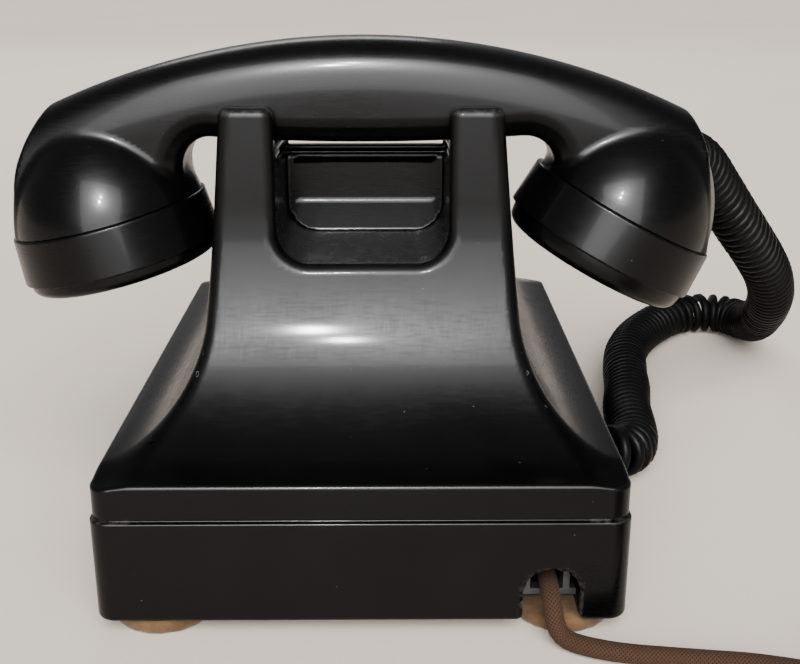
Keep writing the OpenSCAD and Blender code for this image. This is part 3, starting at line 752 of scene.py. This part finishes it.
def cap_field(seam, holes, dish):
    """A screw cap under its seam; its bowl is a ball whose middle is dish below the lip."""
    def field(a, b, c):
        r = np.hypot(a, b)
        h = -c
        side = r - (CAP_R + h / CAP_RING_H)
        ring = round_and(np.maximum(side, h - CAP_RING_H), -h, 0.7)
        ring = round_and(ring, h - CAP_RING_H, 0.35)
        lip_r = CAP_R - 0.5 - 0.03 * np.maximum(h - CAP_RING_H, 0) ** 2
        lip = round_and(r - lip_r, h - seam.cap_h, 2.4)
        body = np.minimum(ring, np.maximum(lip, 6 - h))
        bowl = np.hypot(r, h - seam.cap_h - dish) - math.hypot(DISH_R, dish)
        body = round_cut(body, bowl, 1.2)
        for hx, hy in holes:
            body = round_cut(body, np.hypot(a - hx, b - hy) - 1.3, 0.3)
        body = np.maximum(body, -np.maximum(r - 25, h - seam.cap_h + 5.5))
        collar = np.maximum(np.abs(r - 26.0) - 1.2, np.abs(h) - 3.0)
        return np.minimum(body, collar)
    return field


def ring_of(count, radius, first=0.0):
    """Evenly spaced places on a circle, from the angle first."""
    turn = [2 * math.pi * i / count + first for i in range(count)]
    return [(radius * math.cos(a), radius * math.sin(a)) for a in turn]


def make_cap(name, node, seam, holes, dish, material):
    axis = both_sides((14.0, 0.55), (26.0, 1.6), (34.2, 0.72))
    depth = steps(-seam.cap_h - 0.8, (-15.8, 0.55), (-14.2, 0.35), (-1.5, 1.3), (0.6, 0.35),
                  (4.2, 0.8))
    made = field_object(name, cap_field(seam, holes, dish), (axis, axis, depth), material,
                        place=lambda p: seam.place(p) - CAP_GAP * seam.up)
    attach(made, "handset")
    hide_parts(node)


def bakelite_material():
    """Black moulded resin: a hazy body under a smooth polished skin, greyed where scuffs and a painted rim
    highlight are set.
    """
    s = Shader("bakelite", (0.008, 0.008, 0.008), 0.3, Specular_IOR_Level=0.12,
               Coat_Weight=0.08, Coat_Roughness=0.09, Coat_IOR=1.45)
    at = s.coords()
    haze = s.ramp(s.noise(at, 14.0, 4.0, 0.6), 0.35, 0.75)
    streak = s.noise(s.coords(scale=(1.0, 1.0, 9.0)), 160.0, 3.0)
    worn_and_highlighted = s.node("ShaderNodeAttribute", attribute_name="wear_and_highlight").outputs["Fac"]
    patch = s.ramp(s.noise(at, 420.0, 5.0, 0.7), 0.42, 0.62)
    scuff_and_highlight = s.math("MULTIPLY", worn_and_highlighted, patch)
    speck = s.ramp(s.noise(at, 760.0, 1.0), 0.81, 0.84, 0.0, 0.3)
    mark = s.math("MAXIMUM", scuff_and_highlight, speck)
    rough = s.math("ADD", s.ramp(haze, 0.0, 1.0, 0.25, 0.34), s.ramp(streak, 0.45, 0.7, 0.0, 0.05))
    satin = s.node("ShaderNodeAttribute", attribute_name="satin").outputs["Fac"]
    fine = s.noise(s.coords(scale=(1.0, 0.1, 0.05)), 2800.0, 4.0, 0.6)
    brush = s.ramp(fine, 0.3, 0.7, 0.10, 0.17)
    cloud = s.ramp(s.noise(at, 30.0, 5.0, 0.65), 0.3, 0.7, 0.8, 1.1)
    satin = s.math("MULTIPLY", satin, s.math("MULTIPLY", brush, cloud))
    rough = s.math("ADD", rough, satin)
    s.link(s.math("ADD", rough, s.math("MULTIPLY", mark, 0.3)), "Roughness")
    body = s.mix(haze, (0.0007, 0.0007, 0.0008), (0.0018, 0.0017, 0.0018))
    # The pale grey paints scuffs at the notch and the step, and a painted highlight on the ears' rims.
    s.link(s.mix(mark, body, (0.19, 0.185, 0.175)), "Base Color")
    wave = s.bump(s.noise(at, 22.0, 2.0), 0.05, 0.0008)
    s.link(s.bump(s.math("ADD", s.noise(at, 900.0, 2.0), scuff_and_highlight), 0.04, 0.0002, wave), "Normal")
    return s.material


def make_shells(bakelite):
    housing = field_object("moulded_housing", housing_field, housing_axes(), bakelite,
                           housing_marks)
    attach(housing, "root")
    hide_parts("housing")
    handset = field_object("moulded_handset", handset_field, handset_axes(), bakelite,
                           shade_at=off_the_seams)
    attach(handset, "handset")
    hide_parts("handset_handle")
    ear_holes = [(0, 0)] + ring_of(6, 6.0)
    mouth_holes = [(0, 0)] + ring_of(6, 5.5) + ring_of(12, 11.5)
    make_cap("ear_cap", "receiver_cap", RECEIVER, ear_holes, 60.0, bakelite)
    make_cap("mouth_cap", "transmitter_cap", TRANSMITTER, mouth_holes, 160.0, bakelite)


# ---- Dial -------------------------------------------------------------------------------------
# The dial's pieces are built in its own frame: across, up along its face, and out of it.

WHEEL_R, FINGER_HOLE_R = 38.0, 6.4
FINGER_HOLES = ring_of(12, 28.5, math.radians(30))[:10]
STOP_TURN = math.radians(-22)
DIGIT_SIZE, DIGIT_THICK, DIGIT_LIFT = 8.6, 0.06, 3.66


def stand_for(made, node):
    """The made piece takes over a CAD node's body, and the node is hidden."""
    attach(made, body_of(frame["nodes"][node])[0])
    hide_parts(node)
    return made


def from_dial(points):
    """Points of the dial's frame, in the telephone's."""
    p = np.asarray(points, float)
    across = p[:, :1] * np.array([1.0, 0, 0])
    return DIAL_AT + across + p[:, 1:2] * DIAL_UP + p[:, 2:] * DIAL_NORMAL


def wheel_field(a, b, c):
    r = np.hypot(a, b)
    disc = round_and(r - WHEEL_R, slab(c, 6.5, 1.0), 0.9)
    hub = round_and(r - 15.5, slab(c, 7.4, 0.9), 0.45)
    body = np.maximum(round_join(disc, hub, 0.5), 3.1 - r)
    for x, y in FINGER_HOLES:
        body = round_cut(body, np.hypot(a - x, b - y) - FINGER_HOLE_R, 0.75)
    return body


def stop_field(u, v, c):
    """The finger stop: an arm over the wheel, a post outside it and a foot."""
    width = 2.5 - 0.09 * np.maximum(36 - u, 0)
    arm = round_and(round_and(slab(u, 35.0, 7.0), np.abs(v) - width, 1.2), slab(c, 10.4, 0.8), 0.6)
    post = round_and(round_and(slab(u, 41.1, 0.9), np.abs(v) - 2.5, 0.5), slab(c, 6.8, 4.4), 0.4)
    foot = round_and(round_and(slab(u, 42.75, 1.75), np.abs(v) - 2.5, 0.6), slab(c, 1.8, 1.8), 0.5)
    return round_join(round_join(arm, post, 1.0), foot, 0.8)


def turned(name, profile, material, place, sides=96):
    """A turned piece: (radius, height) pairs from the axis out and back to it."""
    angle = np.linspace(0, 2 * np.pi, sides, endpoint=False)
    r, h = np.array(profile, float).T
    points = np.stack([r[:, None] * np.cos(angle), r[:, None] * np.sin(angle),
                       np.repeat(h[:, None], sides, 1)], -1).reshape(-1, 3)
    return add_mesh(name, place(points), ring_faces(len(r), sides), material)


def dial_numerals(material):
    """Digits 1 to 9 and 0, one under each finger hole, read upright."""
    points, faces = [], []
    for i, (x, y) in enumerate(FINGER_HOLES):
        curve = bpy.data.curves.new("digit", "FONT")
        curve.body = str((i + 1) % 10)
        curve.size = DIGIT_SIZE
        curve.align_x = "CENTER"
        curve.align_y = "CENTER"
        curve.extrude = DIGIT_THICK
        digit = bpy.data.objects.new("digit", curve)
        mesh = digit.to_mesh()
        start = len(points)
        points += [(v.co.x + x, v.co.y + y, v.co.z + DIGIT_LIFT) for v in mesh.vertices]
        for face in mesh.polygons:
            first, *others = [start + v for v in face.vertices]
            faces += [(first, *pair) for pair in zip(others, others[1:])]
        digit.to_mesh_clear()
        bpy.data.objects.remove(digit)
    made = add_mesh("dial_numerals", from_dial(points), faces, material, smooth=False)
    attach(made, "root")


def make_dial(finishes):
    axis = both_sides((38.8, 0.62))
    stand_for(field_object("drilled_wheel", wheel_field, (axis, axis, steps(4.9, (8.9, 0.3))),
                           finishes["wheel_black"], place=from_dial), "finger_wheel")
    cos, sin = math.cos(STOP_TURN), math.sin(STOP_TURN)
    swing = np.array([[cos, sin, 0], [-sin, cos, 0], [0, 0, 1]])
    stop_axes = steps(27.2, (45.2, 0.42)), both_sides((3.2, 0.4)), steps(-0.8, (12.0, 0.4))
    stand_for(field_object("hooked_stop", stop_field, stop_axes, finishes["chrome_trim"],
                           place=lambda p: from_dial(p @ swing)), "finger_stop")
    plate = [(4.2, 2.45), (39.4, 2.45), (40.0, 2.8), (39.9, 3.3), (39.2, 3.55), (36, 3.6),
             (22, 3.6), (4.2, 3.6), (4.2, 2.45)]
    stand_for(turned("enamel_plate", plate, finishes["enamel"], from_dial), "number_plate")
    bezel = [(12.0, 8.3), (14.5, 8.3), (14.45, 8.8), (14.1, 9.3), (13.5, 9.62), (12.9, 9.7),
             (12.4, 9.55), (12.1, 9.3), (12.0, 9.0), (12.0, 8.3)]
    stand_for(turned("card_bezel", bezel, finishes["chrome_trim"], from_dial), "card_ring")
    card = [(0.02, 8.35), (11.95, 8.35), (11.95, 8.95), (11.5, 9.08), (0.02, 9.08), (0.02, 8.35)]
    stand_for(turned("blank_card", card, finishes["card"], from_dial), "number_card")
    dial_numerals(finishes["black_plastic"])


# ---- Feet and plug ----------------------------------------------------------------------------

FEET_AT = ((-61, -92), (61, -92), (-61, 92), (61, 92))
FELT_SEED = 7
PLUG_AT = (-150.0, 185.0, 0)
PLUG_ENTRY = math.radians(115)


def make_feet(material):
    """Four pads of thick felt, squeezed and fretted at the rim."""
    rng = np.random.default_rng(FELT_SEED)
    sides = 64
    angle = np.linspace(0, 2 * np.pi, sides, endpoint=False)
    profile = [(0.02, 0.0), (14.0, 0.0), (15.1, 0.6), (15.5, 1.6), (15.5, 3.0), (15.2, 4.3),
               (14.4, 5.0), (0.02, 5.0)]
    points, faces = [], []
    for x, y in FEET_AT:
        wave = sum(rng.normal() * np.sin(n * angle + rng.uniform(0, 6.3)) / n for n in range(3, 14))
        fray = rng.uniform(0, 0.35, (len(profile), sides)) * (np.array(profile)[:, :1] > 1)
        faces.append(ring_faces(len(profile), sides) + len(points))
        for (r, z), loose in zip(profile, fray):
            rim = r - (0.3 + 0.28 * wave) * (r > 1) - loose
            points += list(zip(x + rim * np.cos(angle), y + rim * np.sin(angle),
                               np.full(sides, z)))
    stand_for(add_mesh("felt_pads", points, np.vstack(faces), material), "felt_feet")


def plug_field(a, b, c):
    """A round plug with a ribbed grip and a hole where the cord goes in."""
    r = np.hypot(a, b)
    gripped = np.clip((r - 12) / 4, 0, 1) * (slab(c, 6.5, 3.5) < 0)
    ribs = 0.35 * np.cos(20 * np.arctan2(b, a)) * gripped
    body = round_and(r - 16.5 - ribs, slab(c, 7.0, 7.0), 2.4)
    body = round_cut(body, np.maximum(slab(r, 13.6, 0.5), 13.5 - c), 0.2)
    entry = np.hypot(c - 7.0, a * math.sin(PLUG_ENTRY) - b * math.cos(PLUG_ENTRY)) - 3.1
    inward = a * math.cos(PLUG_ENTRY) + b * math.sin(PLUG_ENTRY)
    return round_cut(body, np.maximum(entry, 12.0 - inward), 0.5)


def pin_field(a, b, c):
    """Four round pins, each with a fine groove."""
    body = None
    for x, y in ring_of(4, 9.0, math.radians(45)):
        r = np.hypot(a - x, b - y)
        pin = round_and(r - 2.2, slab(c, 19.4, 5.5), 1.3)
        pin = round_cut(pin, slab(r, 2.5, 0.5) + np.maximum(slab(c, 17.0, 0.5), 0) * 4, 0.1)
        body = pin if body is None else np.minimum(body, pin)
    return body


def make_plug(finishes):
    def place(points):
        return np.asarray(points, float) + np.array(PLUG_AT)

    axis = both_sides((17.4, 0.55))
    stand_for(field_object("moulded_plug", plug_field, (axis, axis, steps(-0.6, (14.6, 0.5))),
                           finishes["brown_plastic"], place=place), "line_plug")
    axis = both_sides((9.2, 0.42))
    stand_for(field_object("plug_pins", pin_field, (axis, axis, steps(13.2, (25.6, 0.4))),
                           finishes["brass"], place=place), "line_plug_pins")


# ---- Cords ------------------------------------------------------------------------------------

CURLY_D = 20.2
CURLY_WIRE_D = 4.3
CURLY_PITCH = 4.45
CURLY_OPEN_PITCH = 7.0
CURLY_POINTS_PER_TURN = 18
CURLY_LEAD_TURNS = 0.7
CURLY_ROUTE = [
    (-107.5, 2.5, 125.5), (-114, -5.5, 123.5), (-122, -14.5, 118.5), (-131, -24.5, 108.5),
    (-141, -33.5, 96.5), (-151.3, -43.5, 84.5), (-161.5, -55, 72.5), (-170.8, -69, 60.5),
    (-178.2, -85, 48), (-183.4, -103, 36), (-187.6, -122, 25), (-190.7, -141, 16),
    (-191, -158, 11.2), (-185, -170.5, 10.2), (-172.5, -174.5, 10.2), (-157.5, -168.5, 10.2),
    (-143, -153, 10.2), (-130, -133, 10.2), (-121, -111, 10.2), (-116, -88, 10.2),
    (-112.5, -65, 10.2), (-108.0, -43, 10.2), (-105.7, -22, 10.2), (-102.7, -6, 10.7),
    (-96.7, 4, 12.2), (-88, 7.8, 14.5),
]
OPEN_TURNS_AT = (-168, -173, 10)
OPEN_TURNS_REACH = 20

LINE_D = 5.8
LINE_ROUTE = [
    (-56, 84, 13), (-56, 93, 13), (-56, 101, 13), (-56, 106, 12), (-56.3, 109.5, 9.5),
    (-57, 112, 6), (-59, 114, 3.6), (-63, 116.5, 3), (-70, 119.5, 3), (-78, 121.5, 3),
    (-88, 123, 3), (-99, 124.5, 3), (-110, 126, 3), (-122, 129, 3), (-134, 133, 3),
    (-146, 138.5, 3), (-157, 141, 3),
]
COIL_AT = (-150, 185)
COIL_RADII = (39, 33, 27)
COIL_LAYERS = 3
COIL_ROWS = 8
COIL_POINTS_PER_TURN = 24
COIL_LAST_POINTS = 16
COIL_START = math.radians(-118)
# The share of each turn over which the coil moves on to its next row.
COIL_SHIFT = 0.25
BRAID_TURNS_PER_MM, BRAID_STRANDS = 0.9, 14.0


def rubber_material():
    s = Shader("neoprene", (0.008, 0.008, 0.0085), 0.42, Specular_IOR_Level=0.06)
    at = s.coords()
    s.link(s.ramp(s.noise(at, 60.0, 5.0), 0.3, 0.7, 0.36, 0.52), "Roughness")
    dust = s.ramp(s.noise(at, 900.0, 3.0), 0.62, 0.75, 0.0, 0.25)
    s.link(s.mix(dust, (0.003, 0.003, 0.0032), (0.016, 0.0155, 0.0145)), "Base Color")
    s.link(s.bump(s.noise(at, 700.0, 4.0), 0.15, 0.0002), "Normal")
    return s.material


def braid_material():
    """Brown cotton braid: two sets of crossing strands along the tube's UV map, with tracers."""
    s = Shader("cotton_braid", (0.06, 0.033, 0.02), 0.85, Sheen_Weight=0.03,
               Specular_IOR_Level=0.06)
    uv = s.node("ShaderNodeUVMap", uv_map="along").outputs["UV"]
    parts = s.node("ShaderNodeSeparateXYZ", {"Vector": uv})
    along, around = parts.outputs["X"], parts.outputs["Y"]
    strands = []
    for sign in (-1, 1):
        slope = s.math("ADD", s.math("MULTIPLY", along, BRAID_TURNS_PER_MM),
                       s.math("MULTIPLY", around, BRAID_STRANDS * sign))
        strands.append(s.math("ABSOLUTE", s.math("SINE", s.math("MULTIPLY", slope, math.pi), 0), 0))
    weave = s.math("MAXIMUM", strands[0], strands[1])
    fuzz = s.noise(s.coords(), 1500.0, 4.0)
    tone = s.math("MULTIPLY", s.ramp(weave, 0.55, 1.0), s.ramp(fuzz, 0.2, 0.8, 0.6, 1.0))
    s.link(s.mix(tone, (0.02, 0.0105, 0.0065), (0.075, 0.040, 0.024)), "Base Color")
    s.link(s.bump(s.math("ADD", weave, s.math("MULTIPLY", fuzz, 0.5)), 0.5, 0.0003), "Normal")
    return s.material


def make_curly_cord():
    """A lead wound around the cord's route, its turns open where the cord turns back."""
    route, run = smooth_path(CURLY_ROUTE, 1.0)
    away = np.linalg.norm(route - np.array(OPEN_TURNS_AT), axis=1)
    open_share = np.exp(-(away / OPEN_TURNS_REACH) ** 2)
    pitch = CURLY_PITCH + (CURLY_OPEN_PITCH - CURLY_PITCH) * open_share
    turns = np.concatenate([[0], np.cumsum(np.diff(run) / (0.5 * (pitch[1:] + pitch[:-1])))])
    wound = np.linspace(0, turns[-1], int(turns[-1] * CURLY_POINTS_PER_TURN))
    at = np.interp(wound, turns, run)
    angle = 2 * np.pi * wound
    _, normal, side = path_frames(route)
    centre, n, b = (np.stack([np.interp(at, run, v[:, k]) for k in range(3)], 1)
                    for v in (route, normal, side))
    lead = np.clip(np.minimum(wound, turns[-1] - wound) / CURLY_LEAD_TURNS, 0, 1)
    reach = (CURLY_D - CURLY_WIRE_D) / 2 * lead
    helix = centre + reach[:, None] * (np.cos(angle)[:, None] * n + np.sin(angle)[:, None] * b)
    cord = tube_mesh("curly_cord", helix, CURLY_WIRE_D / 2, 8, rubber_material())
    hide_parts("handset_cord")
    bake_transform(cord, "handset", "root", start=(-0.114, -0.0055, 0.1235), end=(-0.114, -0.0055, 0.024))


def coil_points():
    """The line cord's coil: bottom layer from outside in, then up and out, then up and in."""
    rows = []
    for layer in range(COIL_LAYERS):
        radii = COIL_RADII if layer % 2 == 0 else COIL_RADII[::-1]
        rows += [(r, LINE_D * (layer + 0.5)) for r in radii]
    last = COIL_ROWS - 1
    wound = np.arange(last * COIL_POINTS_PER_TURN + COIL_LAST_POINTS) / COIL_POINTS_PER_TURN
    whole, part = np.divmod(np.minimum(wound, last), 1)
    row = whole + np.clip((part - (1 - COIL_SHIFT)) / COIL_SHIFT, 0, 1)
    r, z = (np.interp(row, np.arange(COIL_ROWS), v) for v in zip(*rows[:COIL_ROWS]))
    a = COIL_START - 2 * np.pi * wound
    return np.stack([COIL_AT[0] + r * np.cos(a), COIL_AT[1] + r * np.sin(a), z], 1), a[-1]


def make_line_cord():
    """The braided cord from the notch through its coil into the plug; returns its length."""
    turns, last = coil_points()
    tail = [(COIL_AT[0] + r * math.cos(last - d), COIL_AT[1] + r * math.sin(last - d), z)
            for r, d, z in ((26, 0.25, 13), (22.5, 0.45, 10.5), (17.2, 0.6, 8.5))]
    path, run = smooth_path(np.vstack([LINE_ROUTE, turns, tail]), 2.0)
    cord = tube_mesh("cloth_line_cord", path, LINE_D / 2, 12, braid_material(), run)
    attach(cord, "root")
    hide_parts("line_cord", "line_cord_coil")
    return run[-1]


# ---- Finishes of the CAD nodes ----------------------------------------------------------------


def metal_material(name, color, dark, roughness):
    """Metal with duller, darker clouds and a fine grain."""
    s = Shader(name, color, roughness, 1.0)
    at = s.coords()
    dull = s.ramp(s.noise(at, 18.0, 5.0, 0.6), 0.35, 0.7)
    grain = s.noise(s.coords(scale=(1.0, 14.0, 1.0)), 260.0, 2.0)
    s.link(s.mix(dull, color, dark), "Base Color")
    s.link(s.math("ADD", s.ramp(dull, 0.0, 1.0, roughness - 0.05, roughness + 0.12),
                  s.ramp(grain, 0.4, 0.7, 0.0, 0.08)), "Roughness")
    s.link(s.bump(grain, 0.06, 0.0002), "Normal")
    return s.material


def matt_material(name, color, other, roughness, scale, bump, sheen=0.0):
    """Felt, card, enamel or moulding: clouds of two colours with a finer relief."""
    s = Shader(name, color, roughness, Sheen_Weight=sheen,
               Specular_IOR_Level=0.06 if roughness > 0.5 else 0.4)
    at = s.coords()
    cloud = s.ramp(s.noise(at, scale, 5.0, 0.6), 0.35, 0.7)
    fibre = s.noise(at, scale * 14, 4.0, 0.7)
    s.link(s.mix(cloud, color, other), "Base Color")
    s.link(s.ramp(fibre, 0.3, 0.7, roughness - 0.06, roughness + 0.06), "Roughness")
    s.link(s.bump(fibre, bump, 0.0003), "Normal")
    return s.material


def coil_material():
    """Fine copper wire, wound side by side."""
    s = Shader("wound_wire", (0.24, 0.075, 0.03), 0.38, 0.6)
    at = s.coords()
    turns = s.node("ShaderNodeTexWave", {"Vector": at, "Scale": 900.0, "Distortion": 0.4},
                   wave_type="BANDS", bands_direction="X").outputs["Fac"]
    s.link(s.mix(s.math("MULTIPLY", turns, s.noise(at, 60.0)), (0.30, 0.09, 0.035),
                 (0.12, 0.035, 0.015)), "Base Color")
    s.link(s.bump(turns, 0.4, 0.0002), "Normal")
    return s.material


def make_finishes():
    """One material for each of the record's material slots."""
    return {
        "black_plastic": bakelite_material(),
        "wheel_black": metal_material("black_enamelled_wheel", (0.02, 0.02, 0.021),
                                      (0.012, 0.012, 0.012), 0.3),
        "dark_steel": metal_material("dark_steel", (0.022, 0.021, 0.02),
                                     (0.012, 0.0115, 0.011), 0.5),
        "steel": metal_material("steel", (0.10, 0.097, 0.093), (0.045, 0.043, 0.04), 0.45),
        "dial_metal": metal_material("zinc_plate", (0.42, 0.42, 0.42), (0.25, 0.25, 0.25), 0.44),
        "brass": metal_material("aged_brass", (0.62, 0.42, 0.17), (0.30, 0.19, 0.08), 0.33),
        "tin_can": metal_material("tinned_can", (0.55, 0.54, 0.52), (0.36, 0.35, 0.33), 0.42),
        "chrome_trim": metal_material("chrome_trim", (0.72, 0.72, 0.73), (0.5, 0.5, 0.5), 0.14),
        "felt": matt_material("worn_felt", (0.16, 0.094, 0.045), (0.055, 0.03, 0.015), 0.9, 130.0,
                              0.7, 0.2),
        "enamel": matt_material("white_enamel", (0.78, 0.76, 0.70), (0.70, 0.67, 0.60), 0.2,
                                40.0, 0.02),
        "card": matt_material("paper_card", (0.74, 0.70, 0.58), (0.62, 0.57, 0.45), 0.8, 70.0, 0.1),
        "brown_plastic": matt_material("brown_moulding", (0.055, 0.026, 0.015),
                                       (0.085, 0.042, 0.024), 0.3, 50.0, 0.05),
        "coil_wire": coil_material(),
        "cord_rubber": rubber_material(),
        "cord_cloth": matt_material("brown_braid", (0.12, 0.07, 0.045), (0.05, 0.03, 0.02), 0.85,
                                    300.0, 0.6),
    }


def paint_nodes(finishes):
    """Gives every CAD node the finish of its material slot."""
    for part in frame["record"]["subparts"]:
        held = frame["nodes"][part["node"]].data.materials
        held.clear()
        held.append(finishes[part["material_slot"]])


make_camera()
finishes = make_finishes()
paint_nodes(finishes)
make_shells(finishes["black_plastic"])
make_dial(finishes)
make_feet(finishes["felt"])
make_plug(finishes)
make_curly_cord()
line_length = make_line_cord()
make_stage()
make_lights()
